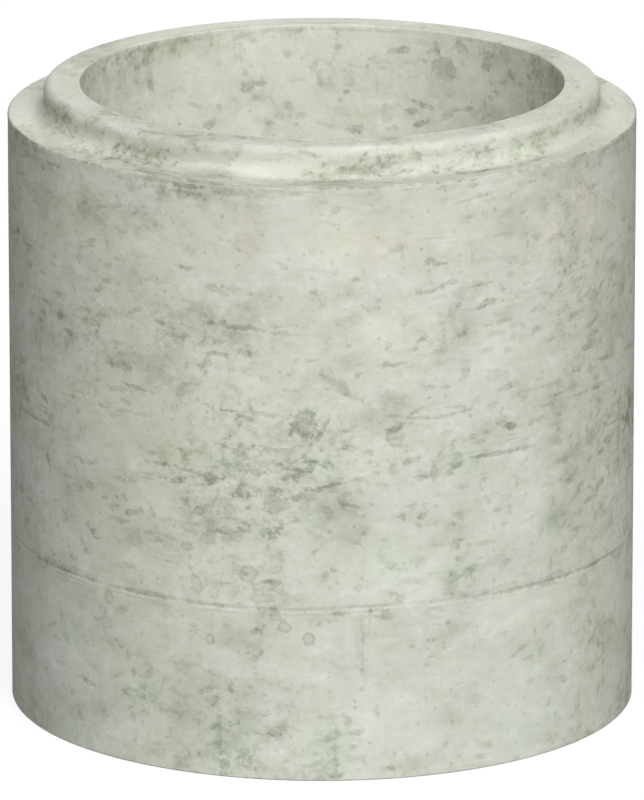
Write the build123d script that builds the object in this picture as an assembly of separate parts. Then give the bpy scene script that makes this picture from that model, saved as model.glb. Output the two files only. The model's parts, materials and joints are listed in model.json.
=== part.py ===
from build123d import *
import os

# A precast concrete culvert ring, standing on its socket end with its spigot up.
# Rings like it are laid end to end as a culvert, or stacked as a shaft. The spigot of one ring seats in
# the socket rebate of the next, and the flat faces outside the joint carry the load from ring to ring.
# The ring is cast in one piece, so it is one solid: half of its section, turned once about its axis.
# Millimetres, +Z up along the axis, origin at the centre of the base.

# Driving dimensions of the barrel
bore_diameter = 800.0
wall_thickness = 120.0
laying_length = 1000.0

# Driving dimensions of the spigot, which stands on the shoulder around the bore
spigot_height = 50.0
spigot_thickness = 60.0
spigot_nose_radius = 15.0
spigot_foot_radius = 23.0

# Clearances that leave room for the seal when one ring seats on the next
joint_side_gap = 6.0
joint_end_gap = 5.0

# Small rounding that the mould leaves on every other arris
arris_radius = 3.0

# Radii and heights that follow from the driving dimensions
bore_radius = bore_diameter / 2
outer_radius = bore_radius + wall_thickness
spigot_radius = bore_radius + spigot_thickness
spigot_top = laying_length + spigot_height

# The socket is the spigot's own outline, moved out by the clearances
socket_radius = spigot_radius + joint_side_gap
socket_depth = spigot_height + joint_end_gap
socket_corner_radius = spigot_nose_radius
socket_mouth_radius = spigot_foot_radius + joint_side_gap


def half_section():
    """The wall cut through on one side of the axis, as a face on the XZ plane."""
    # Each corner is its radius from the axis, its height, and how far it is rounded
    corners = (
        (socket_radius, 0, socket_mouth_radius),
        (outer_radius, 0, arris_radius),
        (outer_radius, laying_length, arris_radius),
        (spigot_radius, laying_length, spigot_foot_radius),
        (spigot_radius, spigot_top, spigot_nose_radius),
        (bore_radius, spigot_top, arris_radius),
        (bore_radius, socket_depth, arris_radius),
        (socket_radius, socket_depth, socket_corner_radius),
    )
    with BuildSketch(Plane.XZ) as section:
        with BuildLine():
            FilletPolyline(
                [(radius, height) for radius, height, _ in corners],
                radius=[rounding for _, _, rounding in corners],
                close=True,
            )
        make_face()
    return section.sketch


def culvert_ring():
    """The whole casting: the half section turned once round the bore's axis."""
    ring = revolve(half_section(), axis=Axis.Z)
    ring.label = "culvert_ring"
    return ring


os.makedirs("parts", exist_ok=True)
export_step(culvert_ring(), "parts/culvert_ring.step")
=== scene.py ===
"""The looks of the concrete culvert ring: casting relief, weathered concrete, studio light and camera."""
import json
import math
from collections import namedtuple

import bpy
import numpy as np
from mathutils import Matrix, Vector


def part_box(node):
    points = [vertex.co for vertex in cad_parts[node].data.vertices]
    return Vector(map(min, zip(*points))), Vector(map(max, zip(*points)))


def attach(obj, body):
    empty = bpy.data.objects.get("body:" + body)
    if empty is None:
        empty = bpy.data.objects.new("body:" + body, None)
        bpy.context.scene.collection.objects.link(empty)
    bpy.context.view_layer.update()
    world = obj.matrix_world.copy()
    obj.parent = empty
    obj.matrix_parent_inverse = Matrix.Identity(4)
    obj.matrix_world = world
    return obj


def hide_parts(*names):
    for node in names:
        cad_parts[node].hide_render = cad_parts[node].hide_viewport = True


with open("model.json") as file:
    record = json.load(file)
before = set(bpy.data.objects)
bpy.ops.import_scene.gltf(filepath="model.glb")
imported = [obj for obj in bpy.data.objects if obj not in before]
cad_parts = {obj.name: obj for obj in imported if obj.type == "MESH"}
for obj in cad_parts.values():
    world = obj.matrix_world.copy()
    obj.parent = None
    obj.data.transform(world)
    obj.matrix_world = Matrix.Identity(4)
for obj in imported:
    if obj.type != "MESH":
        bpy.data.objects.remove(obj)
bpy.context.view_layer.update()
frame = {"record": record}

# Sizes in metres, read from the frame. A mount's radius is in millimetres there
mm_in_a_metre = 1000
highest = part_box("culvert_ring")[1]
mounts = {mount["name"]: mount for mount in frame["record"]["mounts"]}
outer_radius = highest.x
spigot_top = highest.z
bore_radius = mounts["bore"]["dims"]["r_mm"] / mm_in_a_metre
spigot_radius = mounts["spigot"]["dims"]["r_mm"] / mm_in_a_metre
socket_radius = mounts["socket"]["dims"]["r_mm"] / mm_in_a_metre
shoulder_height = mounts["shoulder"]["pos_m"][2]

# Roundings and the socket's depth, in metres
spigot_nose_radius = 0.015
spigot_foot_radius = 0.023
socket_corner_radius = spigot_nose_radius
socket_mouth_radius = spigot_foot_radius + socket_radius - spigot_radius
socket_end_gap = 0.005
socket_depth = spigot_top - shoulder_height + socket_end_gap
arris_radius = 0.003

# The grid of the mesh: columns round the ring, rows in each arc, and the gap between rows elsewhere
segments = 480
arris_steps = 3
spigot_steps = 6
socket_steps = 5
row_gaps = {"wall": 0.010, "top": 0.010, "bore": 0.040}

# The joint line that two parts of the mould left round the wall, and the closer rows beside it
joint_height = 0.2895
joint_half_zone = 0.015
joint_row_gap = 0.0016

# The joint line sags most at one azimuth, and less round it until the cosine from there is the edge
joint_sag = 0.005
sag_azimuth = math.radians(-20)
sag_edge = 0.85


def placed(name, data):
    """A new object in the scene."""
    thing = bpy.data.objects.new(name, data)
    bpy.context.scene.collection.objects.link(thing)
    return thing


# The section

# A corner's place, its rounding with the steps of that arc, and the region of the stretch that follows
Corner = namedtuple("Corner", "radius height rounding steps region")

# From the foot of the wall up, over the spigot, down the bore and out through the socket
corners = [
    Corner(outer_radius, 0.0, arris_radius, arris_steps, "wall"),
    Corner(outer_radius, shoulder_height, arris_radius, arris_steps, "top"),
    Corner(spigot_radius, shoulder_height, spigot_foot_radius, spigot_steps, "top"),
    Corner(spigot_radius, spigot_top, spigot_nose_radius, spigot_steps, "top"),
    Corner(bore_radius, spigot_top, arris_radius, arris_steps, "bore"),
    Corner(bore_radius, socket_depth, arris_radius, arris_steps, "bore"),
    Corner(socket_radius, socket_depth, socket_corner_radius, socket_steps, "bore"),
    Corner(socket_radius, 0.0, socket_mouth_radius, socket_steps, "bore"),
]


def rounded_corner(before, corner, after):
    """Points of the arc that rounds a right-angled corner."""
    place = np.array([corner.radius, corner.height])
    back = np.array([before.radius, before.height]) - place
    ahead = np.array([after.radius, after.height]) - place
    back /= np.linalg.norm(back)
    ahead /= np.linalg.norm(ahead)
    centre = place + (back + ahead) * corner.rounding
    turns = np.linspace(0, math.pi / 2, corner.steps + 1)
    return [centre - corner.rounding * (ahead * math.cos(t) + back * math.sin(t)) for t in turns]


def stretch_shares(start, end, region):
    """How far along a straight stretch its rows lie, closer together beside the joint line."""
    length = np.linalg.norm(end - start)
    steps = max(1, math.ceil(length / row_gaps[region]))
    shares = list(np.linspace(0, 1, steps + 1)[1:-1])
    if region == "wall":
        low = (joint_height - joint_half_zone - start[1]) / length
        high = (joint_height + joint_half_zone - start[1]) / length
        shares = [share for share in shares if not low < share < high]
        shares += list(np.arange(low, high, joint_row_gap / length))
    return sorted(shares)


def section_outline():
    """The closed outline as points, and for each step to the next point the region that it is in."""
    count = len(corners)
    arcs = [rounded_corner(corners[i - 1], corners[i], corners[(i + 1) % count]) for i in range(count)]
    points, regions = [], []
    for i, corner in enumerate(corners):
        points += arcs[i]
        regions += ["wall" if i == 0 else corners[i - 1].region] * (len(arcs[i]) - 1)
        start, end = arcs[i][-1], arcs[(i + 1) % count][0]
        rows = [start + (end - start) * share for share in stretch_shares(start, end, corner.region)]
        points += rows
        regions += [corner.region] * (len(rows) + 1)
    return np.array(points), regions


# Relief, always inwards, so that the ring stays inside its own sizes

# Depths in metres of the cast face's unevenness, and of the two grooves of the joint line
uneven_depth = 0.00025
upper_groove_depth = 0.0005
lower_groove_depth = 0.0003

# The heights of each groove's two edges above the joint line, and how far the line wanders
upper_groove = (0.001, 0.009)
lower_groove = (-0.007, -0.001)
joint_drift = 0.0008

# The wall stays even this close to its arrises
even_end = 0.006


def soft_noise(angle, height, waves, rise, count, seed):
    """Smooth noise round the ring, about -1 to 1. It closes on itself, as each wave count is whole."""
    source = np.random.default_rng(seed)
    total = np.zeros(np.broadcast(angle, height).shape)
    for _ in range(count):
        around = source.integers(waves[0], waves[1] + 1)
        upward = source.uniform(rise[0], rise[1]) * source.choice([-1, 1])
        phase = source.uniform(0, math.tau)
        total += np.sin(around * angle + upward * height + phase)
    return total / math.sqrt(count)


def bump_between(value, low, high):
    """1 in the middle of a band and 0 at its edges."""
    share = np.clip((value - low) / (high - low), 0, 1)
    return np.sin(share * math.pi) ** 2


def wall_relief(angle, height):
    """How far the wall lies inside its true cylinder."""
    roughness = soft_noise(angle, height, waves=(3, 14), rise=(4, 22), count=10, seed=3)
    wandering = soft_noise(angle, 0, waves=(2, 9), rise=(0, 0), count=5, seed=4)
    clearness = soft_noise(angle, 0, waves=(4, 30), rise=(0, 0), count=7, seed=5)
    uneven = np.maximum(uneven_depth * (1 + 0.5 * roughness), 0)
    near = np.clip((np.cos(angle - sag_azimuth) - sag_edge) / (1 - sag_edge), 0, 1)
    sag = joint_sag * near ** 2 * (3 - 2 * near)
    above = height - joint_height - joint_drift * wandering + sag
    grooves = upper_groove_depth * bump_between(above, *upper_groove)
    grooves += lower_groove_depth * bump_between(above, *lower_groove)
    between_arrises = (height > even_end) & (height < shoulder_height - even_end)
    return uneven * between_arrises + grooves * np.clip(0.6 + 0.5 * clearness, 0.0, 1.2)


def ring_grid(outline):
    """Points of the whole surface, row by row, with the relief taken off the wall."""
    angles = np.arange(segments) * math.tau / segments
    around = np.stack([np.sin(angles), -np.cos(angles)], -1)
    radius, height = outline[:, :1], outline[:, 1:]
    relief = wall_relief(angles[None, :], height)
    radii = radius - np.where(np.isclose(radius, outer_radius), relief, 0.0)
    heights = np.broadcast_to(height, radii.shape)
    return np.stack([radii * around[:, 0], radii * around[:, 1], heights], -1)


# The mesh

def ring_faces(rows):
    """Quads between each row and the next, closed both ways."""
    row, column = np.meshgrid(np.arange(rows), np.arange(segments), indexing="ij")
    next_row = (row + 1) % rows
    next_column = (column + 1) % segments
    quads = [
        row * segments + column,
        row * segments + next_column,
        next_row * segments + next_column,
        next_row * segments + column,
    ]
    return np.stack(quads, -1).reshape(-1, 4)


def area_weighted_normals(points, faces):
    """Vertex normals in which a large flat face outweighs the small faces of a rounded arris."""
    around = [points[faces[:, k]] for k in range(4)]
    crossed = np.cross(around[2] - around[0], around[3] - around[1])
    normals = np.zeros_like(points)
    for k in range(4):
        np.add.at(normals, faces[:, k], crossed)
    return normals / np.linalg.norm(normals, axis=1, keepdims=True)


def make_ring(outline, regions, materials):
    """The casting as one closed mesh, with a material for each region."""
    points = ring_grid(outline).reshape(-1, 3)
    faces = ring_faces(len(outline))
    mesh = bpy.data.meshes.new("culvert_ring_cast")
    mesh.from_pydata(points.tolist(), [], faces.tolist())
    order = list(materials)
    for name in order:
        mesh.materials.append(materials[name])
    indices = np.repeat([order.index(region) for region in regions], segments)
    mesh.polygons.foreach_set("material_index", indices.astype(np.int32))
    mesh.polygons.foreach_set("use_smooth", np.ones(len(faces), bool))
    mesh.validate()
    mesh.normals_split_custom_set_from_vertices(area_weighted_normals(points, faces).tolist())
    return placed("culvert_ring_cast", mesh)


# Marks

# A mark's middle and size in millimetres: its arc from the front towards the right, its height, its own
# length and thickness. Then its strength out of 10, and its slant in degrees. On the top, the height is
# counted along the section, from the shoulder's outer edge inwards and over the spigot. In the bore, the
# arc is counted from the middle of the back towards the left as seen from the front.
Mark = namedtuple("Mark", "arc height length thickness strength slant", defaults=(6, 0))
full_strength = 10

# The mould repeats its face, so the wall's marks come again every pitch
mould_pitch = 888
mould_turns = (-2, -1, 0, 1, 2)


def marks_at(*rows):
    """Marks from rows of their numbers."""
    return [Mark(*row) for row in rows]


band_below_the_joint_line = marks_at(
    (-434, 117, 34, 11, 9, -20), (-355, 256, 30, 14, 5, 30), (-397, 233, 40, 30, 3.5), (-367, 203, 12, 10),
    (-359, 195, 10, 9), (-341, 179, 12, 12), (-331, 153, 10, 14, 7), (-347, 117, 16, 9, 6, -30),
    (-309, 113, 11, 15, 6, 20), (-312, 133, 16, 14, 6, 40), (-329, 124, 26, 9, 5),
    (-332, 80, 12, 24, 6, 10), (-329, 38, 20, 9, 6, 30), (-203, 140, 11, 9, 7, 30), (-119, 157, 10, 9, 8),
    (-151, 149, 8, 13, 7, 30), (-141, 169, 10, 8), (-184, 253, 18, 12, 5), (-109, 250, 22, 8, 6, 10),
    (-111, 205, 14, 12, 6, 30), (-102, 214, 14, 7, 6, 30), (-134, 47, 20, 9, 6, 30), (-91, 70, 26, 16, 5),
    (-71, 77, 24, 20, 5), (-91, 113, 18, 12, 5, 30), (-46, 120, 26, 16, 4), (-7, 265, 12, 10),
    (88, 113, 11, 14, 6, 20), (90, 125, 9, 8), (22, 87, 9, 12), (42, 100, 10, 17), (20, 110, 46, 8, 5, 5),
    (57, 83, 24, 9), (50, 57, 17, 9, 6, 20), (107, 280, 26, 14), (33, 285, 40, 5), (188, 283, 34, 9),
    (203, 278, 12, 8), (185, 230, 9, 7), (147, 223, 8, 7), (212, 258, 8, 8), (182, 202, 8, 7),
    (173, 188, 8, 7), (65, 155, 10, 8), (227, 128, 13, 8, 6, 20), (232, 150, 18, 6, 6, 10),
    (263, 120, 26, 18, 4), (207, 50, 10, 14), (278, 40, 30, 14, 6, -20), (273, 20, 26, 9),
    (113, 20, 17, 13), (382, 212, 9, 16), (353, 190, 36, 9, 6, 20), (367, 172, 24, 8),
    (398, 180, 18, 28, 5, 20), (377, 130, 20, 9), (415, 88, 9, 14), (320, 225, 14, 6), (437, 50, 14, 24, 4),
    (-164, 20, 18, 16, 8), (-172, 95, 9, 12), (-181, 83, 7, 14), (-164, 7, 15, 9), (20, 57, 14, 10),
    (20, 27, 16, 12), (27, 7, 26, 8), (-240, 92, 12, 9, 4, 30), (-262, 60, 16, 14, 4),
    (-395, 70, 16, 26, 5, 10), (65, 277, 14, 12, 5), (64, 260, 10, 22, 4), (66, 240, 9, 24, 4),
    (63, 215, 12, 12, 5), (65, 203, 10, 14, 4), (66, 188, 10, 14, 4), (78, 272, 5, 40, 4),
    # From (365, 297) on, the long thin marks at 291 to 301 mm darken the joint line's upper groove:
    (58, 240, 8, 100, 3), (22, 40, 9, 80, 5), (12, 55, 7, 60, 3), (365, 297, 180, 7, 5),
    # partly painted shade in the groove and partly dark staining along it
    (60, 296, 90, 6, 5), (-120, 293, 80, 5, 3.5), (180, 297, 60, 5, 3), (-215, 291, 50, 6, 3.5),
    (-300, 294, 160, 8, 7), (-497, 295, 170, 12, 8), (-445, 301, 60, 10, 5), (-172, 70, 12, 90, 7),
    (-178, 35, 9, 60), (-150, 60, 60, 50, 3), (-135, 40, 40, 20, 3.5), (268, 299, 90, 9, 4),
    (330, 300, 120, 13, 5), (400, 300, 90, 9, 4.5),
)

band_above_the_joint_line = marks_at(
    (62, 327, 20, 10), (152, 333, 26, 13), (132, 305, 20, 15), (115, 313, 12, 9), (220, 313, 26, 15, 4),
    (238, 333, 32, 13, 6, 10), (362, 313, 14, 9), (418, 320, 14, 15), (-341, 335, 24, 9),
    (-437, 340, 14, 13), (-81, 337, 32, 11, 8, -5), (-327, 428, 36, 14, 10, 15), (-371, 430, 20, 13),
    (-389, 440, 18, 7), (-427, 453, 17, 13), (-364, 408, 30, 11), (-341, 408, 20, 8), (-297, 397, 20, 8),
    (-329, 382, 32, 24, 6, 20), (-317, 383, 9, 30, 6, 10), (-434, 387, 13, 9), (-421, 377, 12, 9),
    (-407, 368, 20, 6), (-279, 387, 14, 10), (-257, 353, 14, 9), (-222, 348, 9, 8), (-187, 363, 9, 8),
    (-166, 415, 26, 7, 8, -8), (-131, 420, 34, 9, 8), (-91, 420, 32, 13, 9, 8), (-82, 412, 18, 7),
    (-67, 430, 20, 9, 8, 15), (-47, 438, 26, 7, 6, 20), (-74, 440, 13, 6), (-87, 453, 13, 9),
    (-127, 433, 16, 8, 8, -30), (-122, 460, 13, 7, 6, 40), (-189, 457, 20, 8), (-172, 448, 7, 12),
    (-292, 438, 9, 22, 6, 30), (-347, 450, 10, 20), (-234, 462, 18, 8), (-29, 470, 16, 36, 6, 15),
    (-47, 477, 30, 7, 8, -10), (-14, 387, 8, 13), (-21, 423, 8, 7), (-114, 380, 13, 14, 4),
    (42, 467, 30, 6, 6, -12), (142, 460, 9, 8), (170, 460, 9, 8), (130, 445, 20, 10, 6, 20),
    (165, 442, 13, 11), (155, 427, 16, 11, 6, 10), (68, 420, 8, 7), (55, 403, 13, 8),
    (100, 405, 20, 7, 6, -10), (95, 390, 9, 19, 6, -20), (97, 373, 9, 20, 5), (110, 363, 19, 12),
    (98, 350, 9, 13, 6, -20), (18, 358, 9, 8), (200, 387, 10, 8), (227, 390, 19, 18, 9), (228, 363, 8, 7),
    (250, 382, 9, 8), (275, 383, 34, 8), (270, 358, 13, 6), (320, 410, 16, 7, 6, 20),
    (370, 408, 30, 7, 6, 20), (373, 365, 13, 6), (397, 383, 13, 19), (307, 353, 40, 13, 4, 10),
    (322, 345, 16, 13), (247, 342, 28, 10), (230, 435, 16, 13, 6, -30), (222, 423, 9, 8),
    (272, 475, 20, 8, 6, -50), (283, 457, 24, 9, 6, -55), (302, 437, 18, 10, 6, -30),
    (297, 463, 24, 6, 6, 10), (343, 473, 9, 16), (350, 462, 9, 8), (408, 458, 20, 7),
    (-9, 373, 12, 7, 6, -40), (5, 352, 10, 8), (25, 335, 8, 6),
)

streaked_band = marks_at(
    (-315, 638, 66, 6, 8, -8), (-342, 610, 18, 8), (-364, 630, 34, 10), (-400, 595, 54, 6, 5),
    (-344, 595, 42, 8, 6, 5), (-314, 595, 34, 7), (-404, 637, 20, 7), (-155, 620, 30, 5, 8),
    (-124, 611, 26, 9, 9, -10), (-95, 617, 60, 8, 8, -6), (-191, 625, 10, 7, 8, -20), (-292, 533, 18, 8),
    (-217, 563, 18, 10), (-195, 545, 34, 26, 4.5, -30), (-180, 528, 40, 22, 5, -20), (-126, 545, 17, 12),
    (-141, 555, 36, 6, 6, -12), (-77, 558, 26, 6, 6, -10), (-54, 527, 26, 6), (-14, 538, 44, 11, 9, -12),
    (-29, 527, 36, 7, 8), (-273, 518, 54, 6, 8), (-224, 512, 42, 9, 9, -6), (-197, 507, 56, 14, 10, -8),
    (-181, 498, 24, 10, 8), (-294, 497, 50, 9), (-297, 490, 26, 6), (-244, 497, 20, 18), (-211, 490, 20, 8),
    (-434, 493, 26, 10), (-357, 478, 26, 9), (-329, 480, 20, 8), (-131, 485, 19, 16, 7),
    (-87, 503, 13, 24, 6, 20), (-80, 493, 26, 10, 8, -20), (-67, 487, 12, 8, 6, -30),
    (10, 535, 20, 14, 9, -40), (10, 663, 16, 7), (37, 662, 14, 7), (60, 645, 20, 7),
    (77, 638, 18, 9, 4, -10), (33, 592, 18, 7), (43, 563, 19, 10), (78, 555, 11, 10), (60, 510, 26, 8),
    (20, 502, 60, 6, 8, 12), (-17, 494, 34, 7, 8, -8), (88, 520, 13, 9), (117, 613, 26, 10),
    (117, 590, 24, 10, 6, 20), (128, 563, 20, 7), (157, 620, 42, 7, 6, 18), (160, 607, 54, 6, 8, -6),
    (220, 609, 60, 6, 8, 8), (230, 618, 26, 7, 6, -6), (177, 657, 26, 8), (207, 655, 18, 7),
    (253, 618, 14, 7), (263, 627, 17, 13), (293, 615, 20, 10), (322, 638, 26, 11), (317, 660, 17, 15),
    (395, 627, 90, 5, 4), (307, 585, 20, 18), (328, 573, 30, 11, 10, -20), (330, 558, 26, 4),
    (330, 550, 26, 4), (280, 570, 10, 8), (255, 567, 17, 11), (267, 555, 26, 9), (222, 563, 10, 8),
    (160, 542, 10, 16), (142, 535, 17, 14), (193, 535, 17, 14), (227, 530, 26, 24, 7),
    (303, 531, 112, 7, 10), (283, 538, 14, 7), (187, 513, 13, 28), (167, 507, 30, 9, 8),
    (213, 510, 14, 13, 8), (357, 538, 16, 24), (357, 507, 16, 10), (433, 527, 28, 13), (437, 493, 20, 9),
    (387, 572, 34, 11), (433, 573, 14, 9), (405, 595, 54, 7, 5), (433, 607, 26, 7), (277, 490, 13, 8),
    (235, 483, 13, 8), (-60, 513, 60, 8, 5, 10), (-115, 520, 70, 10, 4, -12), (110, 575, 30, 8, 4),
    (130, 600, 14, 10, 8, 40), (175, 588, 30, 16, 3.5), (205, 577, 22, 12, 5), (-45, 588, 22, 9, 4, 80),
    (-28, 604, 40, 30, 9, 75), (-2, 590, 46, 8, 8, 58),
)

upper_band = marks_at(
    (-281, 980, 60, 9, 5), (-87, 990, 36, 7), (-44, 988, 26, 8), (-334, 973, 18, 20, 5), (-361, 938, 26, 8),
    (-394, 930, 20, 7), (-427, 858, 34, 7, 6, 15), (-420, 868, 32, 7, 6, 15), (-364, 848, 12, 9),
    (-377, 833, 17, 13), (-317, 820, 14, 24, 4, 20), (-284, 823, 50, 8, 4), (-231, 853, 30, 9, 7, -10),
    (-381, 807, 20, 8), (-416, 818, 17, 7), (-177, 823, 32, 12, 8, -15), (-164, 817, 26, 8, 6, -10),
    (-117, 818, 9, 8), (-64, 867, 20, 9, 8, -30), (-16, 825, 14, 7), (-17, 848, 8, 8),
    (-290, 785, 100, 22, 3.5, -20), (-401, 790, 20, 10), (-414, 773, 18, 13), (-401, 765, 20, 10),
    (-374, 755, 66, 15, 5), (-324, 767, 34, 9, 6, 30), (-274, 755, 17, 8), (-135, 761, 90, 9, 8.5, -5),
    (-74, 765, 20, 6), (-61, 753, 42, 8, 5, -5), (-231, 740, 14, 13, 5), (-184, 740, 10, 9),
    (-281, 728, 20, 8, 4), (-124, 720, 22, 10, 8, -20), (-177, 713, 38, 9, 8.5), (-187, 704, 22, 12, 8, 40),
    (-184, 695, 17, 13), (-197, 692, 26, 7), (-41, 710, 9, 9, 8), (-22, 709, 18, 6, 7), (-434, 750, 26, 9),
    (-414, 733, 34, 10), (-409, 712, 10, 14), (-367, 707, 32, 8, 6, 8), (-361, 685, 34, 14, 6, 20),
    (-351, 673, 42, 20), (-374, 670, 34, 10), (17, 957, 34, 12, 6, 30), (13, 938, 26, 11, 6, -20),
    (45, 962, 34, 8, 3.5, -15), (207, 988, 34, 10), (202, 967, 16, 11, 5), (258, 965, 56, 6, 6, 8),
    (252, 985, 20, 7), (250, 935, 13, 6), (275, 937, 14, 7, 5), (350, 977, 14, 8), (373, 976, 30, 5),
    (333, 963, 13, 8, 5), (352, 927, 18, 6), (125, 892, 24, 12, 8, 5), (107, 886, 8, 20, 7, -35),
    (131, 882, 7, 22), (15, 873, 8, 18, 7), (20, 857, 9, 11, 7, 40), (55, 844, 11, 8, 8),
    (177, 867, 16, 11, 9, 20), (193, 862, 26, 7, 9), (200, 905, 74, 5, 3.5), (303, 897, 46, 6, 4),
    (178, 818, 36, 8, 8, 10), (200, 825, 24, 7, 8, 30), (218, 829, 24, 8, 10), (268, 819, 56, 5, 7, 5),
    (282, 788, 26, 10, 10, 10), (232, 789, 11, 9, 8), (333, 785, 22, 7), (337, 850, 20, 13, 6, 30),
    (328, 827, 14, 8), (372, 822, 22, 10), (362, 807, 18, 7), (388, 807, 18, 8), (387, 880, 16, 14),
    (430, 873, 26, 13), (437, 833, 14, 24), (420, 800, 66, 30, 3.5), (233, 740, 34, 10, 6, 20),
    (167, 740, 17, 8, 6, 20), (153, 725, 10, 8), (170, 710, 20, 11, 4), (42, 733, 9, 7), (110, 733, 9, 8),
    (283, 748, 20, 7), (310, 752, 26, 7), (297, 733, 26, 12), (337, 740, 26, 9), (333, 720, 15, 14),
    (285, 707, 20, 9), (322, 703, 14, 9), (388, 725, 30, 13, 9), (387, 760, 26, 13), (437, 745, 26, 9),
    (410, 703, 26, 10), (105, 700, 12, 12, 9, 30), (123, 700, 28, 7, 9, 10), (57, 685, 10, 11, 8),
    (240, 675, 26, 13, 6, 50), (20, 672, 46, 20, 5, -40), (38, 655, 44, 10, 6, -25),
    (10, 693, 16, 14, 4, -30), (-200, 790, 40, 30, 3), (-284, 991, 100, 9, 7), (-225, 989, 70, 8, 7),
    (-243, 974, 90, 13), (-150, 984, 40, 12, 5), (-118, 988, 30, 14, 5), (-95, 982, 60, 14, 5),
    (-62, 986, 30, 12, 5), (-330, 985, 40, 9, 5), (-20, 990, 60, 5, 4), (60, 985, 60, 8, 3),
    # The last mark darkens the wall's top arris across the front, so that it shows little of the key lamp's
    # highlight
    (150, 990, 50, 5, 3.5), (300, 988, 60, 8, 4), (0, 999, 900, 7, 9),
)

pale_marks = marks_at(
    (-16, 600, 40, 7, 9, 64), (-300, 905, 90, 5, 8, -30), (-262, 880, 40, 4, 6, -12), (-40, 588, 14, 8, 7),
    (-116, 600, 20, 5, 5), (-96, 552, 40, 4, 6, -12), (-60, 566, 34, 5, 7, -8), (10, 530, 34, 4, 6, -12),
    (-185, 478, 30, 6, 4, 20), (-20, 512, 24, 6, 5), (150, 548, 20, 6, 5, -10), (240, 545, 60, 5, 5),
    (310, 524, 100, 4, 5), (-120, 700, 40, 5, 5, -12), (-190, 690, 30, 5, 4), (200, 815, 50, 4, 5, 8),
    (-70, 270, 20, 4, 5), (-210, 285, 30, 5, 5), (-330, 420, 40, 5, 5, 15), (120, 455, 30, 5, 4),
    (-24, 300, 70, 4, 4), (-180, 299, 60, 4, 4), (300, 302, 90, 4, 4), (-390, 250, 30, 6, 4),
    (40, 990, 90, 4, 4), (-40, 980, 40, 5, 5), (-90, 995, 60, 3, 5), (-16, 590, 40, 5, 9, 50),
)

wall_rings = marks_at(
    (-381, 274, 22, 22), (-209, 323, 22, 28, 6, 20), (-179, 312, 16, 16, 4), (-74, 278, 17, 17, 4),
    (-61, 262, 24, 17), (-22, 242, 20, 20, 8), (-187, 233, 15, 15, 7), (-121, 348, 30, 30, 7),
    (-206, 447, 17, 15), (-226, 385, 26, 13, 5), (18, 77, 24, 18, 4), (-124, 30, 20, 26, 4),
    (120, 578, 30, 36, 5), (-96, 328, 34, 20, 5, 10), (-100, 308, 40, 16, 5), (250, 322, 26, 18, 3),
    (-190, 405, 30, 24, 4, 20), (292, 665, 24, 18, 4, 30), (-27, 606, 46, 36, 5, 75),
)

top_marks = marks_at(
    (-731, 75, 40, 14, 8), (-653, 72, 30, 20, 7.2), (-649, 68, 16, 22, 7.2), (-581, 84, 60, 16, 4.8),
    (-594, 75, 60, 20, 7.2), (-606, 57, 30, 12, 4.8), (-567, 66, 34, 16, 4.1), (-540, 60, 26, 12, 3.2),
    (-517, 80, 50, 22, 3.6), (-470, 84, 60, 20, 3.2), (-700, 66, 40, 16, 5.6), (-760, 72, 60, 10, 8),
    (-820, 72, 80, 8, 8), (-900, 70, 100, 8), (-690, 78, 60, 24, 4.8), (-625, 60, 24, 10, 5.6, 30),
    (703, 69, 20, 12, 6.4), (667, 73, 20, 12, 6.4), (672, 57, 26, 8, 4.8, -50), (599, 78, 40, 14, 7.2),
    (608, 69, 30, 10, 6.4), (542, 83, 24, 14, 4.8), (508, 70, 30, 10, 5), (572, 39, 60, 8, 4.8),
    (656, 128, 60, 8, 4), (767, 127, 60, 8, 5), (896, 30, 90, 8, 5), (694, 14, 16, 5, 4.8),
    (751, 71, 60, 10, 8), (640, 75, 40, 16, 4.8), (800, 72, 80, 9, 7), (860, 72, 80, 8, 5),
    (-127, 38, 100, 7, 3.6), (-77, 40, 60, 6, 3.6), (-32, 29, 50, 8, 5.4), (11, 27, 60, 9),
    (57, 36, 70, 6, 3.6), (136, 37, 110, 6, 3.6), (216, 25, 80, 6, 3), (265, 28, 50, 8, 9),
    (297, 28, 50, 8, 9), (330, 24, 60, 6), (399, 28, 70, 8, 7), (360, 20, 80, 5, 5), (440, 18, 60, 5, 4),
    (-180, 38, 80, 6, 4), (-27, 86, 40, 9, 9, -15), (-32, 100, 12, 20, 5), (-40, 93, 20, 12, 4),
    (-100, 75, 60, 7, 5), (134, 78, 50, 9), (-34, 131, 60, 10, 5), (29, 145, 90, 6, 5), (331, 84, 30, 6, 7),
    (338, 70, 50, 5), (447, 75, 60, 12, 5), (163, 54, 34, 8, 5), (197, 44, 40, 8, 5), (220, 73, 12, 10, 5),
    (236, 52, 24, 8, 5), (-247, 94, 22, 16, 8), (-238, 83, 16, 12, 7), (-284, 29, 90, 5), (-293, 10, 70, 4),
    (-272, 66, 90, 6, 3.3, -10), (-204, 47, 40, 6, 4), (-386, 65, 90, 8, 2.8), (-324, 60, 50, 5, 3.3),
    (-393, 41, 50, 6, 4), (-361, 45, 60, 4, 3.3), (-472, 40, 90, 7, 2.7), (-499, 29, 70, 7, 2.7),
    (-430, 60, 100, 14, 2.8), (-1380, 146, 200, 12, 5), (-1500, 130, 90, 8, 5), (1600, 135, 120, 8, 5),
    (1480, 146, 160, 6, 5), (1310, 140, 90, 9, 4), (-1590, 146, 160, 5), (-140, 2, 420, 8, 2.3),
    (160, 2, 420, 8, 2.3), (-140, 40, 200, 8, 2.7), (-190, 22, 160, 9, 1.2), (-90, 14, 140, 9, 2),
    (-230, 10, 120, 8, 1.4), (-300, 8, 140, 8, 1.4), (60, 12, 200, 9, 2), (0, 20, 160, 8, 1.6),
    (150, 14, 160, 8, 2), (230, 9, 120, 8, 2), (-380, 8, 120, 6, 1.6), (172, 78, 30, 20, 4.5),
    (330, 84, 40, 12, 6, 20), (390, 66, 40, 22, 6, 40), (455, 75, 70, 12, 5, 20), (60, 62, 60, 8, 4),
    (240, 56, 60, 9, 4), (110, 90, 50, 8, 3),
)

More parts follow.
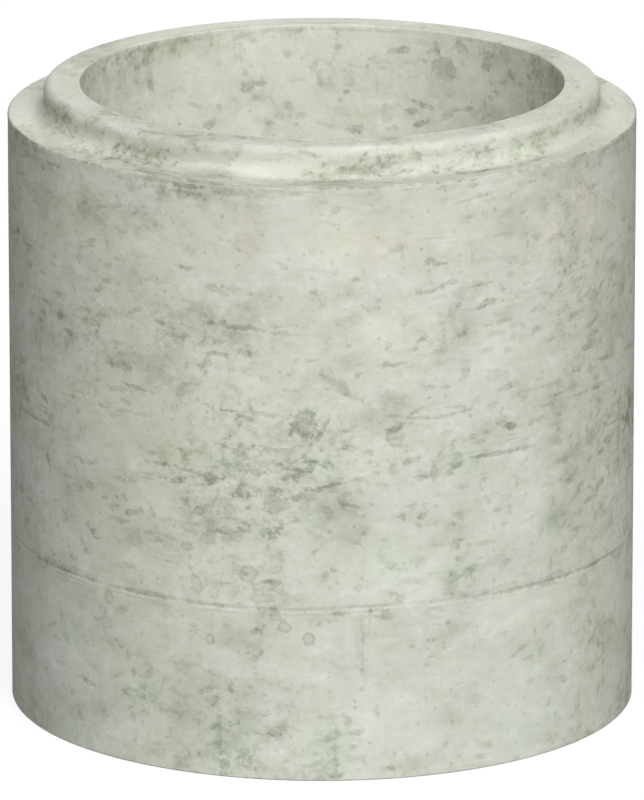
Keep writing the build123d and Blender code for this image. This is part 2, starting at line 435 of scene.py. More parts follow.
bore_marks = marks_at(
    (130, 945, 26, 22, 9), (105, 950, 16, 12, 9), (133, 970, 14, 12), (180, 915, 10, 8),
    (230, 925, 30, 7, 6, 20), (280, 930, 16, 7), (57, 1000, 16, 12, 8, 30), (35, 990, 8, 8),
    (58, 910, 20, 14, 5), (35, 890, 20, 14, 8), (72, 892, 15, 12, 6, 20), (90, 880, 13, 9),
    (47, 876, 13, 9), (195, 888, 30, 12, 9, -20), (385, 965, 18, 12), (360, 948, 18, 12),
    (450, 1008, 50, 26, 7, 40), (400, 1035, 60, 22, 7), (355, 997, 18, 24), (322, 972, 18, 24),
    (140, 1002, 24, 20, 5, -30), (270, 1024, 20, 12), (146, 1034, 54, 10, 6, -8), (230, 984, 28, 16, 4),
    (14, 976, 12, 26, 6, 20), (5, 955, 12, 26, 6, -20), (-134, 1009, 38, 13, 9, -15),
    (-172, 1026, 32, 14, 5), (-200, 1025, 20, 16, 6, -30), (-217, 986, 36, 34), (-250, 1026, 28, 16, 7),
    (-257, 1042, 38, 9, 8, -10), (-306, 1010, 20, 28, 8, 20), (-350, 985, 20, 22), (-367, 998, 20, 18),
    (-500, 1020, 60, 40, 5), (-452, 1015, 50, 28), (-320, 953, 26, 16, 8, -20), (-257, 921, 44, 9, 8, -12),
    (-183, 916, 30, 9, 8, 5), (-161, 904, 22, 10, 7), (-172, 924, 26, 8, 9), (-222, 903, 20, 13, 8, -20),
    (-176, 886, 34, 13, 8, -20), (-109, 894, 24, 32, 8), (-120, 874, 18, 12, 7), (-55, 868, 34, 12, 6, -10),
    (-26, 1010, 20, 9, 5), (-77, 979, 9, 8), (-102, 977, 18, 8), (-91, 990, 18, 22, 4), (-42, 931, 12, 8),
    (-30, 917, 10, 8), (300, 1038, 220, 10, 5), (90, 1040, 120, 6, 5), (-60, 1040, 160, 6, 5),
    (-200, 1040, 90, 6, 4),
)

bore_rings = marks_at(
    (-196, 1004, 24, 28), (-250, 1026, 32, 18, 3), (-215, 986, 44, 38, 4),
)

green_patches = marks_at(
    (-374, 755, 120, 50, 7), (-351, 673, 90, 60), (-187, 535, 110, 70, 7), (-328, 120, 80, 70, 8),
    (-125, 65, 70, 80, 8), (25, 45, 60, 110, 9), (-165, 55, 60, 120, 5), (423, 390, 60, 60, 7),
    (-9, 440, 30, 34, 10), (297, 733, 70, 40), (240, 340, 90, 40), (-330, 400, 120, 90, 4),
    (110, 375, 50, 70, 7), (230, 530, 90, 60), (10, 535, 60, 40, 7), (-200, 705, 120, 60, 5),
    # The tints 900 mm tall tint strips of the wall's whole height: partly painted colour of the light
    (395, 180, 60, 70), (-90, 430, 140, 50, 3), (-26, 618, 40, 30), (-430, 480, 260, 900, 3),
    (540, 480, 260, 900, 3), (-11, 437, 16, 22, 10), (-20, 622, 40, 24, 10), (-330, 470, 300, 160, 5),
    (430, 560, 200, 160, 5), (470, 420, 120, 160, 5),
)

green_on_top = marks_at(
    (-581, 84, 70, 24, 9), (-606, 50, 60, 24, 8), (-470, 70, 140, 40, 5), (-30, 94, 60, 40, 9),
    (-100, 76, 90, 20, 5), (163, 50, 60, 20, 7), (430, 70, 120, 30, 5), (670, 50, 70, 40, 5),
    (-1400, 130, 300, 40, 5), (600, 92, 60, 20, 5), (-340, 80, 160, 30, 4), (172, 78, 50, 26, 10),
    (390, 66, 60, 30, 10), (460, 76, 90, 26, 8),
)

green_in_bore = marks_at(
    (300, 1030, 260, 50, 7), (-100, 900, 120, 90, 4), (60, 1030, 160, 30, 4),
)

cream_patches = marks_at(
    (-250, 540, 120, 60, 10), (60, 905, 160, 60, 7), (-390, 900, 160, 120, 7), (-180, 905, 160, 100, 4),
    (120, 740, 200, 120, 4), (180, 960, 180, 60, 4), (-130, 590, 160, 60, 5), (-420, 600, 160, 120, 5),
    # The tint 900 mm tall tints a strip of the wall's whole height: partly painted colour of the light
    (420, 900, 140, 120, 5), (-30, 690, 160, 60, 4), (-300, 480, 300, 900, 3),
)

lilac_patches = marks_at(
    (-340, 946, 110, 50, 10), (350, 100, 150, 160, 8), (35, 210, 90, 90, 8), (150, 470, 200, 120),
    (-130, 200, 160, 90), (60, 800, 120, 60, 5), (240, 780, 120, 60), (-60, 130, 120, 60, 5),
    # The tint 900 mm tall tints a strip of the wall's whole height: partly painted colour of the light
    (260, 470, 120, 90, 5), (-40, 520, 60, 30, 5), (210, 480, 300, 900, 3.5),
)

shaded_patches = marks_at(
    (-330, 400, 240, 200), (-190, 525, 240, 90, 10, -5), (-350, 690, 260, 190, 7), (-60, 515, 200, 90, 5),
    (-290, 90, 240, 170, 4), (-130, 60, 120, 130, 3), (300, 545, 240, 110), (-240, 800, 200, 120, 4, -10),
    (200, 520, 160, 80, 4), (-390, 560, 120, 260, 4), (20, 60, 60, 120), (-110, 740, 160, 80, 4),
    (400, 730, 120, 120, 4), (20, 665, 90, 50, 5, -30), (-90, 430, 160, 60, 4), (-200, 990, 500, 24, 4),
    # The marks 800 and 900 mm tall here darken strips of the wall's whole height: partly painted shade
    (240, 975, 300, 40, 3), (-420, 850, 120, 60, 4), (-20, 520, 260, 800, 4), (520, 480, 240, 900, 5),
    (-25, 606, 60, 50, 9, 75), (430, 560, 200, 120, 3.5), (470, 430, 110, 130, 4), (-70, 912, 110, 80, 3.5),
    (347, 480, 100, 90, 4), (-68, 610, 110, 90, 4),
)

shaded_on_top = marks_at(
    (-330, 60, 200, 30, 4), (620, 76, 160, 34, 7), (740, 74, 160, 26), (330, 24, 320, 30, 4),
    (-230, 34, 220, 30, 4), (-34, 88, 90, 26, 5), (190, 62, 160, 24, 3), (0, 145, 260, 12, 3),
    (-640, 72, 260, 40, 8), (-480, 78, 220, 36), (272, 130, 260, 40, 7), (-620, 20, 160, 34, 5),
    (-430, 45, 260, 50, 9), (-600, 30, 160, 50, 5), (220, 66, 400, 44, 10), (480, 62, 200, 44, 5),
    (60, 130, 560, 44, 9), (300, 100, 260, 30, 4), (-60, 14, 300, 20, 4), (-470, 40, 200, 40, 5),
    (290, 130, 200, 40), (272, 126, 120, 40, 5), (1361, 126, 200, 40), (0, 126, 110, 40, 3),
)

# Darker patches in the bore. The two strongest, on its right side as seen from the front, are painted shade
# where the inner wall faces away from the key lamp; the rest are darker tone.
painted_shade_and_patches_in_bore = marks_at(
    (-560, 1000, 260, 120, 10), (-640, 900, 240, 200, 10), (300, 1030, 300, 40, 8),
    (-330, 1010, 200, 90, 5), (-120, 930, 160, 120, 3), (560, 960, 160, 160, 5),
)

bright_patches = marks_at(
    (330, 110, 220, 180, 10), (170, 660, 220, 90, 5), (200, 440, 200, 120, 5), (-30, 200, 240, 90, 5),
    (150, 180, 160, 160, 5), (60, 870, 260, 160, 4), (150, 770, 200, 90), (-330, 860, 160, 60, 4),
    (-220, 310, 200, 30, 5), (220, 900, 240, 120, 4), (-410, 160, 90, 160, 4), (-80, 650, 160, 60, 4),
    # The marks 800 mm tall here lighten strips of the wall's whole height: partly painted light
    (250, 500, 200, 800, 2.5), (-330, 520, 120, 500, 4), (-560, 500, 140, 800, 7), (-170, 130, 200, 150, 4),
    (240, 200, 160, 140, 4), (230, 400, 110, 100, 4), (28, 410, 90, 90, 3), (127, 607, 110, 90, 3.5),
    (-170, 402, 110, 80, 3.5),
)

bright_on_top = marks_at(
    (-170, 62, 190, 26, 9), (-140, 100, 220, 26, 5), (60, 98, 120, 26, 4), (300, 106, 180, 26),
    (-640, 20, 260, 36, 3), (660, 30, 260, 40, 4), (-170, 58, 150, 16, 10), (720, 130, 360, 44, 8),
    (-1400, 130, 500, 44), (-1361, 16, 260, 34, 8), (950, 18, 300, 34, 7), (-272, 26, 150, 34, 7),
)

# Lilac tints on the spigot's nose and the fillet at its foot, where the key lamp's highlights fall: painted
# highlight colour, which makes those bands bluish white.
painted_highlight_tint_on_top = marks_at(
    (-141, 100, 200, 26, 9), (300, 98, 60, 24, 9), (-60, 96, 120, 20, 5), (-620, 100, 160, 30),
    (-170, 60, 220, 22, 10), (200, 62, 260, 22, 8), (60, 100, 160, 24, 7), (-400, 90, 200, 30, 5),
)

wall_marks = band_below_the_joint_line + band_above_the_joint_line + streaked_band + upper_band

# Every kind of mark: its lists by region, and how many overlapping marks a face can keep
mark_kinds = {
    "dark_mark": ({"wall": wall_marks, "top": top_marks, "bore": bore_marks}, 3),
    "pale_mark": ({"wall": pale_marks}, 1),
    "ring_mark": ({"wall": wall_rings, "bore": bore_rings}, 1),
    "shaded_patch": ({"wall": shaded_patches, "top": shaded_on_top, "bore": painted_shade_and_patches_in_bore}, 3),
    "bright_patch": ({"wall": bright_patches, "top": bright_on_top}, 2),
    "green_patch": ({"wall": green_patches, "top": green_on_top, "bore": green_in_bore}, 2),
    "cream_patch": ({"wall": cream_patches}, 2),
    "lilac_patch": ({"wall": lilac_patches, "top": painted_highlight_tint_on_top}, 2),
}

# How far from its middle a mark is felt, in its larger half size, and a place out of its reach
mark_reach = 2.2
far_off = 9.0


def edge_places(outline, regions, region):
    """Numbers of a region's rows of faces, with their edges' heights or, on the top, lengths along it."""
    rows = np.array([i for i, name in enumerate(regions) if name == region])
    following = (rows + 1) % len(outline)
    if region == "top":
        steps = np.linalg.norm(outline[following] - outline[rows], axis=1) * mm_in_a_metre
        ends = np.cumsum(steps)
        return rows, ends - steps, ends
    heights = outline[:, 1] * mm_in_a_metre
    return rows, heights[rows], heights[following]


def empty_places(layers, rows):
    """Places for the corners of these rows of faces, out of every mark's reach."""
    places = np.full((layers, rows, segments, 4, 3), far_off)
    places[..., 2] = 0.0
    return places


def places_in(mark, across, upward):
    """Places of points in a mark: along and aside of its middle in half sizes, and the mark's strength."""
    tilt = math.radians(mark.slant)
    along = (across * math.cos(tilt) + upward * math.sin(tilt)) / (mark.length / 2)
    aside = (upward * math.cos(tilt) - across * math.sin(tilt)) / (mark.thickness / 2)
    return np.stack([along, aside, np.full(along.shape, mark.strength / full_strength)], -1)


def keep_nearest(places, nearest, window, found):
    """Puts a mark's places in the first layer with a farther mark, which moves a layer on."""
    distance = np.hypot(found[..., 0].mean(-1), found[..., 1].mean(-1))
    for layer in range(len(places)):
        held, held_distance = places[layer][window], nearest[layer][window]
        closer = distance < held_distance
        places[layer][window] = np.where(closer[..., None, None], found, held)
        nearest[layer][window] = np.where(closer, distance, held_distance)
        found = np.where(closer[..., None, None], held, found)
        distance = np.where(closer, held_distance, distance)


def stamp(marks, outline, regions, region, layers):
    """A region's rows of faces, and their corners' places in the nearest marks, one mark a layer."""
    rows, first, second = edge_places(outline, regions, region)
    high, low = np.maximum(first, second), np.minimum(first, second)
    corner_places = np.stack([first, first, second, second], -1)
    radius = bore_radius if region == "bore" else outer_radius
    start_angle = math.pi if region == "bore" else 0.0
    turns = mould_turns if region == "wall" else (0,)
    circumference = math.tau * radius * mm_in_a_metre
    cell = circumference / segments
    angles = (np.arange(segments) + 0.5) * math.tau / segments
    middle_arcs = (angles - start_angle) * radius * mm_in_a_metre
    places = empty_places(layers, len(rows))
    nearest = np.full((layers, len(rows), segments), far_off)
    for mark in marks:
        reach = mark_reach * max(mark.length, mark.thickness) / 2 + cell
        near_rows = np.nonzero((high > mark.height - reach) & (low < mark.height + reach))[0]
        upward = corner_places[near_rows][:, None, :] - mark.height
        for turn in turns:
            arc = mark.arc + turn * mould_pitch
            if abs(arc) > circumference / 2:
                continue
            offset = (middle_arcs - arc + circumference / 2) % circumference - circumference / 2
            near_columns = np.nonzero(np.abs(offset) < reach)[0]
            across = offset[near_columns][None, :, None] + np.array([-0.5, 0.5, 0.5, -0.5]) * cell
            window = np.ix_(near_rows, near_columns)
            keep_nearest(places, nearest, window, places_in(mark, across, upward))
    return rows, places


def mark_ring(ring, outline, regions):
    """Stamps every kind of mark on the ring, as attributes that the materials read."""
    for kind, (lists, layers) in mark_kinds.items():
        values = empty_places(layers, len(outline))
        for region, marks in lists.items():
            rows, places = stamp(marks, outline, regions, region, layers)
            values[:, rows] = places
        for layer in range(layers):
            attribute = ring.data.attributes.new(f"{kind}_{layer}", "FLOAT_VECTOR", "CORNER")
            attribute.data.foreach_set("vector", values[layer].astype(np.float32).ravel())


# Node trees

class Tree:
    """The nodes of a material or a world, with a short call for each kind."""

    def __init__(self, owner):
        self.owner = owner
        owner.use_nodes = True
        self.nodes = owner.node_tree.nodes
        self.links = owner.node_tree.links
        self.nodes.clear()

    def add(self, kind, inputs=(), **settings):
        """A new node. Each input is a number, a colour, or the socket that it is linked to."""
        node = self.nodes.new(kind)
        for name, value in settings.items():
            setattr(node, name, value)
        for key, value in dict(inputs).items():
            if isinstance(value, bpy.types.NodeSocket):
                self.links.new(value, node.inputs[key])
            else:
                node.inputs[key].default_value = value
        return node

    def math(self, operation, first, second=0.0, third=0.0):
        inputs = {0: first, 1: second, 2: third}
        return self.add("ShaderNodeMath", inputs, operation=operation).outputs[0]

    def vector(self, operation, first, second=(0, 0, 0)):
        node = self.add("ShaderNodeVectorMath", {0: first, 1: second}, operation=operation)
        return node.outputs["Value" if operation == "LENGTH" else "Vector"]

    def parts(self, place):
        """The X, Y and Z of a place."""
        return self.add("ShaderNodeSeparateXYZ", {0: place}).outputs

    def noise(self, place, scale, detail, roughness, distortion=0.0):
        inputs = {"Vector": place, "Scale": scale, "Detail": detail, "Roughness": roughness}
        return self.add("ShaderNodeTexNoise", inputs | {"Distortion": distortion}).outputs["Fac"]

    def span(self, value, low, high, start=0.0, end=1.0):
        """Runs smoothly from start to end while the value goes from low to high."""
        inputs = {"Value": value, "From Min": low, "From Max": high, "To Min": start, "To Max": end}
        return self.add("ShaderNodeMapRange", inputs, interpolation_type="SMOOTHSTEP").outputs["Result"]

    def ramp(self, value, stops):
        """A colour that runs from stop to stop. The first stop is at 0 and the last at 1."""
        node = self.add("ShaderNodeValToRGB", {"Fac": value})
        elements = node.color_ramp.elements
        elements[0].color = stops[0][1]
        elements[1].color = stops[-1][1]
        for place, shade in stops[1:-1]:
            elements.new(place).color = shade
        return node.outputs["Color"]

    def mix(self, share, first, second, blend="MIX"):
        """A mix of two colours, whose sockets have the numbers 6 and 7 on a Mix node."""
        inputs = {0: share, 6: first, 7: second}
        return self.add("ShaderNodeMix", inputs, data_type="RGBA", blend_type=blend).outputs[2]

    def shifted(self, tone, field, amount):
        """The tone with a field added by this amount, which is below 0 to darken."""
        return self.math("MULTIPLY_ADD", field, amount, tone)

    def waver(self, tone, noise, amount):
        """The tone with a noise added evenly to both sides."""
        return self.shifted(tone, self.math("SUBTRACT", noise, 0.5), amount)

    def seen(self):
        """1 for what the camera sees, also in metal and through glass, and 0 for what lights the object."""
        rays = self.add("ShaderNodeLightPath").outputs
        seen = self.math("MAXIMUM", rays["Is Camera Ray"], rays["Is Glossy Ray"])
        return self.math("MAXIMUM", seen, rays["Is Transmission Ray"])


def colour(red, green, blue):
    return (red, green, blue, 1.0)


def grey(level):
    return colour(level, level, level)


# The concrete

# Its colours by tone, from 0, darkest, to 1, palest
usual_tone = 0.60
tone_stops = [
    (0.0, colour(0.330, 0.350, 0.270)),
    (usual_tone, colour(0.603, 0.619, 0.526)),
    (1.0, colour(0.760, 0.780, 0.695)),
]

# Each noise's scale, detail, roughness and distortion, from the broadest to the finest
gathering_noise = (4.5, 3, 0.5)
cloud_noise = (7, 8, 0.64)
tint_noise = (11, 5, 0.6)
breaking_noise = (13, 4, 0.6)
streak_noise = (13, 5, 0.62, 0.4)
mottle_noise = (24, 8, 0.68, 0.5)
rough_noise = (70, 5, 0.72, 0.3)
grain_noise = (260, 3, 0.6)

# Where what a noise draws is absent, and where it is full
fleck_edges = (0.56, 0.66)
streak_edges = (0.57, 0.68)
unbroken_edges = (0.42, 0.60)
reddish_edges = (0.38, 0.62)

# A noise's two levels, and the two values that it gives there: to the raggedness of edges, in half sizes,
# to how closely the blotches gather, to how dark the dark marks are, and to the surface's roughness
ragged_span = (0.15, 0.85, -0.95, 0.95)
gathering_span = (0.35, 0.65, -0.04, 0.04)
dark_depth_span = (0.38, 0.60, 1.20, 0.60)
roughness_span = (0.3, 0.7, 0.80, 0.95)

# How ragged soft edges are beside hard ones, how much a patch changes the gathering, and the sheen
soft_share = 0.7
patch_gathering = 0.05
specular_level = 0.1

# Fine relief in metres: of the grain, the mottle, the rough and the dark marks
relief_depths = (0.00025, 0.0008, 0.0003, -0.0004)

# The mottling lies along the ring: its noise is squeezed upwards on the wall and in the bore, and on the
# top it passes a share of each metre round the outer edge
wall_squeeze = (1, 1, 1.35)
bore_squeeze = (1, 1, 1.2)
top_share = 0.45
streak_squeeze = (1, 1, 4)

# How thick the blotches lie: on the wall by height in metres, and elsewhere all over
wall_blotches = [
    (0.0, 0.9), (0.26, 0.6), (0.31, 0.9), (0.5, 1.0), (0.62, 0.9), (0.75, 0.8), (0.9, 0.7), (1.0, 0.9),
]
top_blotches = 1.15
bore_blotches = 0.8

# Where a mark's field fades out and where it is full, in half sizes from the mark's middle
patch_edges = (1.6, 0.2)
tint_edges = (1.5, 0.3)
dark_edges = (1.35, 0.6)
shade_edges = (2.1, 0.6)
pale_edges = (1.3, 0.4)
# A painted highlight on the lower right rim of each dark mark, as on a shallow pit lit from the upper left
painted_highlight_edges = (1.5, 0.8)
painted_highlight_offset = (0.35, -0.6, 0)

# A ring mark's edge lies this far from its middle, and is darkest within the second of two distances
ring_edge = 0.85
ring_edge_widths = (0.42, 0.10)
ring_inside_edges = (1.25, 0.75)
ring_inside_strength = 0.45
ring_raggedness = 0.5

# The small dark specks: their cells' scale, the picked cells' numbers, and where a speck fades and is full
speck_scale = 75.0
speck_pick = (0.62, 0.95)
speck_edges = (0.32, 0.14)
speck_raggedness = 0.10

# The joint line's painted shade in its upper groove, painted highlight on its crest and painted shade
# in its lower groove: the middle's height above the joint and the half width in metres, and what each
# adds to the tone
joint_painted_shade_and_highlight = [(0.0065, 0.0040, -0.13), (0.0005, 0.0030, 0.02), (-0.0045, 0.0030, -0.08)]

# How much of each one's half width is full
joint_core = 0.3

# How much the cloud, mottle, rough and grain noises sway the tone. The first three have blotches where
# they are low, each with where it fades out, where it is full, and what it adds to the tone
wavers = (0.95, 0.54, 0.27, 0.14)
blotch_edges = ((0.47, 0.38), (0.45, 0.36), (0.40, 0.31))
blotch_shifts = (-0.12, -0.18, -0.26)

# What each other thing adds to the tone. The lift makes up for the blotches and marks
tone_lift = 0.135
shaded_shift = -0.13
bright_shift = 0.08
fleck_shift = 0.08
speck_shift = -0.26
dark_shift = -0.34
shade_shift = -0.07
# The painted highlight beside the dark marks
painted_highlight_shift = 0.10
ring_shift = -0.48
pale_shift = 0.22
streak_shift = -0.12

# Tints that multiply the colour: where it is greener or redder, at the base and 1 m up, and in patches
greener_tint = colour(0.984, 1.0, 0.980)
redder_tint = colour(1.014, 1.0, 1.016)
base_tint = colour(0.986, 1.0, 1.0)
upper_tint = colour(1.012, 1.0, 1.0)
patch_tints = {
    "green_patch": colour(0.955, 1.0, 0.965),
    "cream_patch": colour(1.03, 1.0, 0.94),
    "lilac_patch": colour(1.008, 1.0, 1.045),
}


def read_places(tree, kind):
    """The places in the nearest marks of a kind, one for each layer."""
    names = [f"{kind}_{layer}" for layer in range(mark_kinds[kind][1])]
    return [tree.add("ShaderNodeAttribute", attribute_name=name).outputs["Vector"] for name in names]


def mark_distance(tree, place, shift=(0, 0, 0)):
    """Distance from a mark's middle in half sizes, from a point moved aside by shift."""
    flat = tree.vector("MULTIPLY", place, (1, 1, 0))
    return tree.vector("LENGTH", tree.vector("SUBTRACT", flat, shift))


def mark_field(tree, kind, ragged, edges, shift=(0, 0, 0)):
    """The strength inside a kind's marks and 0 outside, with edges that ragged moves in and out."""
    strongest = 0.0
    for place in read_places(tree, kind):
        distance = tree.math("ADD", mark_distance(tree, place, shift), ragged)
        inside = tree.math("MULTIPLY", tree.span(distance, *edges), tree.parts(place)["Z"])
        strongest = tree.math("MAXIMUM", inside, strongest)
    return strongest


def ring_field(tree, ragged):
    """Dark along the edge of the ring marks and almost half as dark within."""
    place = read_places(tree, "ring_mark")[0]
    distance = tree.math("MULTIPLY_ADD", ragged, ring_raggedness, mark_distance(tree, place))
    from_edge = tree.math("ABSOLUTE", tree.math("SUBTRACT", distance, ring_edge))
    edge = tree.span(from_edge, *ring_edge_widths)
    within = tree.span(distance, *ring_inside_edges, 0.0, ring_inside_strength)
    return tree.math("MULTIPLY", tree.math("MAXIMUM", edge, within), tree.parts(place)["Z"])


def along_the_ring(tree, here):
    """Places for noise that lies along the ring. Its third number runs from the shoulder to the bore."""
    flat = tree.vector("MULTIPLY", here, (1, 1, 0))
    inward = tree.math("SUBTRACT", tree.parts(here)["Z"], tree.vector("LENGTH", flat))
    around = tree.vector("MULTIPLY", tree.vector("NORMALIZE", flat), (outer_radius * top_share,) * 3)
    across = tree.add("ShaderNodeCombineXYZ", {"Z": inward}).outputs[0]
    return tree.vector("ADD", around, across)


def ground_tone(tree, here, noises, soft_ragged, thickness):
    """The cast face's tone: its wavering, broad patches, and blotches at three sizes."""
    shaded = mark_field(tree, "shaded_patch", soft_ragged, patch_edges)
    bright = mark_field(tree, "bright_patch", soft_ragged, patch_edges)
    tone = usual_tone + tone_lift
    for noise, amount in zip(noises, wavers):
        tone = tree.waver(tone, noise, amount)
    tone = tree.shifted(tone, shaded, shaded_shift)
    tone = tree.shifted(tone, bright, bright_shift)

    # How close the blotches lie also follows the patches
    gathered = tree.span(tree.noise(here, *gathering_noise), *gathering_span)
    gathered = tree.shifted(gathered, shaded, -patch_gathering)
    gathered = tree.shifted(gathered, bright, patch_gathering)
    for noise, edges, amount in zip(noises, blotch_edges, blotch_shifts):
        blotches = tree.span(tree.math("ADD", noise, gathered), *edges)
        tone = tree.shifted(tone, tree.math("MULTIPLY", blotches, thickness), amount)
    return tone


def specks(tree, here, ragged):
    """Small dark specks, one in some of the cells of a pattern."""
    cells = tree.add("ShaderNodeTexVoronoi", {"Vector": here, "Scale": speck_scale}).outputs
    picked = tree.span(tree.parts(cells["Color"])["X"], *speck_pick)
    away = tree.math("MULTIPLY_ADD", ragged, speck_raggedness, cells["Distance"])
    return tree.math("MULTIPLY", tree.span(away, *speck_edges), picked)


def marked_tone(tree, tone, dark, mottle, ragged, soft_ragged):
    """The tone with the marks. Dark ones get a soft darker halo and a painted highlight at lower right."""
    shade_round = mark_field(tree, "dark_mark", soft_ragged, shade_edges)
    # Painted highlight: a pale rim at the lower right of each dark mark, outside the mark itself
    painted_highlight = mark_field(tree, "dark_mark", ragged, painted_highlight_edges, painted_highlight_offset)
    painted_highlight = tree.math("MULTIPLY", painted_highlight, tree.math("SUBTRACT", 1.0, dark))
    depth = tree.span(mottle, *dark_depth_span)
    tone = tree.shifted(tone, tree.math("MULTIPLY", dark, depth), dark_shift)
    tone = tree.shifted(tone, shade_round, shade_shift)
    tone = tree.shifted(tone, painted_highlight, painted_highlight_shift)
    tone = tree.shifted(tone, ring_field(tree, ragged), ring_shift)
    pale = mark_field(tree, "pale_mark", soft_ragged, pale_edges)
    return tree.shifted(tone, pale, pale_shift)


def streaked_tone(tree, here, thickness, tone):
    """The tone with dark streaks along the wall."""
    noise = tree.noise(tree.vector("MULTIPLY", here, streak_squeeze), *streak_noise)
    streaks = tree.math("MULTIPLY", tree.span(noise, *streak_edges), thickness)
    return tree.shifted(tone, streaks, streak_shift)


def joint_line_tone(tree, here, tone):
    """Painted shade in the joint's grooves and a painted highlight on its crest, broken here and there."""
    parts = tree.parts(here)
    near = tree.math("MULTIPLY", parts["X"], math.sin(sag_azimuth) / outer_radius)
    near = tree.math("MULTIPLY_ADD", parts["Y"], -math.cos(sag_azimuth) / outer_radius, near)
    above = tree.math("SUBTRACT", parts["Z"], joint_height)
    above = tree.math("ADD", above, tree.span(near, sag_edge, 1.0, 0.0, joint_sag))
    along = tree.noise(tree.vector("MULTIPLY", here, (1, 1, 0)), *breaking_noise)
    unbroken = tree.span(along, *unbroken_edges)
    # Painted shade over each groove and a painted highlight on the crest between them
    for middle, half_width, amount in joint_painted_shade_and_highlight:
        away = tree.math("ABSOLUTE", tree.math("SUBTRACT", above, middle))
        line = tree.span(away, half_width, half_width * joint_core)
        tone = tree.shifted(tone, tree.math("MULTIPLY", line, unbroken), amount)
    return tone


def tinted(tree, here, soft_ragged, shade):
    """The colour, greener and redder by turns, greener towards the base, and tinted in patches."""
    reddish = tree.span(tree.noise(here, *tint_noise), *reddish_edges)
    shade = tree.mix(1.0, shade, tree.mix(reddish, greener_tint, redder_tint), "MULTIPLY")
    upward = tree.mix(tree.parts(here)["Z"], base_tint, upper_tint)
    shade = tree.mix(1.0, shade, upward, "MULTIPLY")
    for kind, tint in patch_tints.items():
        field = mark_field(tree, kind, soft_ragged, tint_edges)
        shade = tree.mix(field, shade, tree.mix(1.0, shade, tint, "MULTIPLY"))
    return shade


def concrete(region):
    """Weathered cast concrete for one region of the ring."""
    tree = Tree(bpy.data.materials.new(f"{region}_concrete"))
    here = tree.add("ShaderNodeTexCoord").outputs["Object"]
    if region == "wall":
        drawn = tree.vector("MULTIPLY", here, wall_squeeze)
        stops = [(height, grey(amount)) for height, amount in wall_blotches]
        thickness = tree.ramp(tree.parts(here)["Z"], stops)
    elif region == "bore":
        drawn, thickness = tree.vector("MULTIPLY", here, bore_squeeze), bore_blotches
    else:
        drawn, thickness = along_the_ring(tree, here), top_blotches
    cloud = tree.noise(drawn, *cloud_noise)
    mottle = tree.noise(drawn, *mottle_noise)
    rough = tree.noise(here, *rough_noise)
    grain = tree.noise(here, *grain_noise)
    ragged = tree.span(rough, *ragged_span)
    soft_ragged = tree.math("MULTIPLY", tree.waver(ragged, mottle, 1.0), soft_share)

    tone = ground_tone(tree, here, (cloud, mottle, rough, grain), soft_ragged, thickness)
    tone = tree.shifted(tone, tree.span(mottle, *fleck_edges), fleck_shift)
    tone = tree.shifted(tone, specks(tree, here, ragged), speck_shift)
    dark = mark_field(tree, "dark_mark", ragged, dark_edges)
    tone = marked_tone(tree, tone, dark, mottle, ragged, soft_ragged)
    if region == "wall":
        tone = streaked_tone(tree, here, thickness, tone)
        tone = joint_line_tone(tree, here, tone)

    relief = 0.0
    for field, depth in zip((grain, mottle, rough, dark), relief_depths):
        relief = tree.shifted(relief, field, depth)
    bumped = tree.add("ShaderNodeBump", {"Strength": 1.0, "Distance": 1.0, "Height": relief}).outputs[0]
    surface = tree.add("ShaderNodeBsdfPrincipled", {
        "Base Color": tinted(tree, here, soft_ragged, tree.ramp(tone, tone_stops)),
        "Roughness": tree.span(mottle, *roughness_span),
        "Specular IOR Level": specular_level,
        "Normal": bumped,
    })
    tree.add("ShaderNodeOutputMaterial", {"Surface": surface.outputs[0]})
    return tree.owner


# Studio

# The camera's place in metres, its pitch in degrees, and its lens and sensor in millimetres
camera_distance = 16.245
camera_height = 4.991
camera_pitch = 15.449
camera_lens = 455.06
sensor_size = 36.0
farthest_seen = 200.0

# The world's light, the floor's size in metres and grey, and what it adds where the camera sees it
world_light = 0.193
floor_reach = 120.0
floor_grey = 0.25
floor_glow = 0.80


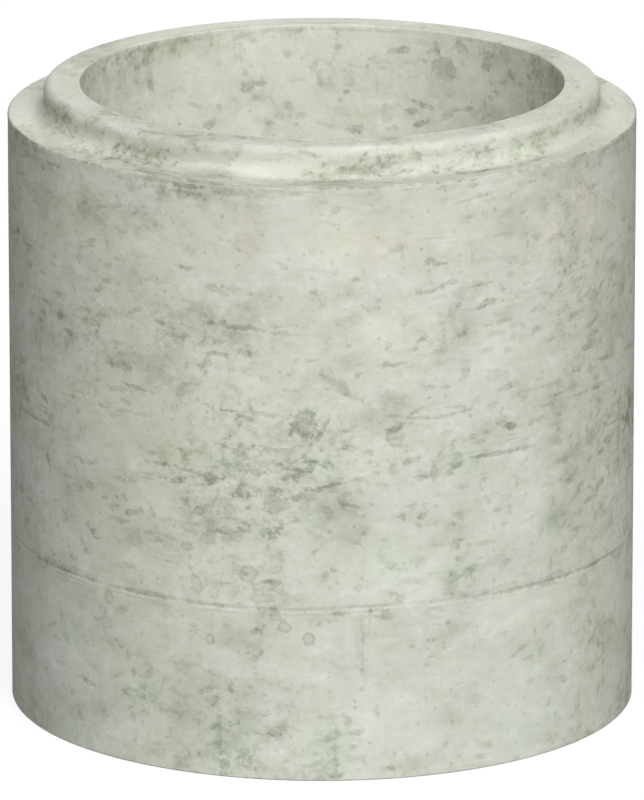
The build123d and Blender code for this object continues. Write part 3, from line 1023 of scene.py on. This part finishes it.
def make_camera():
    data = bpy.data.cameras.new("camera")
    data.lens = camera_lens
    data.sensor_width = sensor_size
    data.clip_end = farthest_seen
    camera = placed("camera", data)
    camera.location = (0.0, -camera_distance, camera_height)
    camera.rotation_euler = (math.radians(90 - camera_pitch), 0.0, 0.0)
    bpy.context.scene.camera = camera


def make_sun(name, azimuth, elevation, strength, spread):
    """A broad distant lamp. Azimuth is counted from the front towards the right, in degrees."""
    data = bpy.data.lights.new(name, "SUN")
    data.energy = strength
    data.angle = math.radians(spread)
    lamp = placed(name, data)
    lamp.rotation_euler = (math.radians(90 - elevation), 0.0, math.radians(azimuth))


def make_world():
    """Pale where the camera sees it past the floor, and a low even light otherwise."""
    world = bpy.data.worlds.new("studio")
    bpy.context.scene.world = world
    tree = Tree(world)
    strength = tree.span(tree.seen(), 0.0, 1.0, world_light, 1.0)
    background = tree.add("ShaderNodeBackground", {"Strength": strength})
    tree.add("ShaderNodeOutputWorld", {"Surface": background.outputs[0]})


def floor_material():
    """White to the camera apart from the object's faint shadow, and darker to the light it throws back."""
    tree = Tree(bpy.data.materials.new("studio_floor"))
    matte = tree.add("ShaderNodeBsdfDiffuse", {"Color": grey(floor_grey)})
    glow = tree.add("ShaderNodeEmission", {"Strength": tree.math("MULTIPLY", tree.seen(), floor_glow)})
    both = tree.add("ShaderNodeAddShader", {0: matte.outputs[0], 1: glow.outputs[0]})
    tree.add("ShaderNodeOutputMaterial", {"Surface": both.outputs[0]})
    return tree.owner


def make_floor():
    mesh = bpy.data.meshes.new("floor")
    signs = [(-1, -1), (1, -1), (1, 1), (-1, 1)]
    mesh.from_pydata([(x * floor_reach, y * floor_reach, 0) for x, y in signs], [], [(0, 1, 2, 3)])
    mesh.materials.append(floor_material())
    placed("floor", mesh)


make_camera()
make_world()
make_sun("key", azimuth=11, elevation=39, strength=3.12, spread=50)
make_sun("back", azimuth=178, elevation=9, strength=1.6, spread=16)
make_floor()
bpy.context.scene.view_settings.view_transform = "Standard"

outline, regions = section_outline()
materials = {region: concrete(region) for region in ("wall", "top", "bore")}
ring = make_ring(outline, regions, materials)
mark_ring(ring, outline, regions)
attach(ring, "root")
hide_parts("culvert_ring")
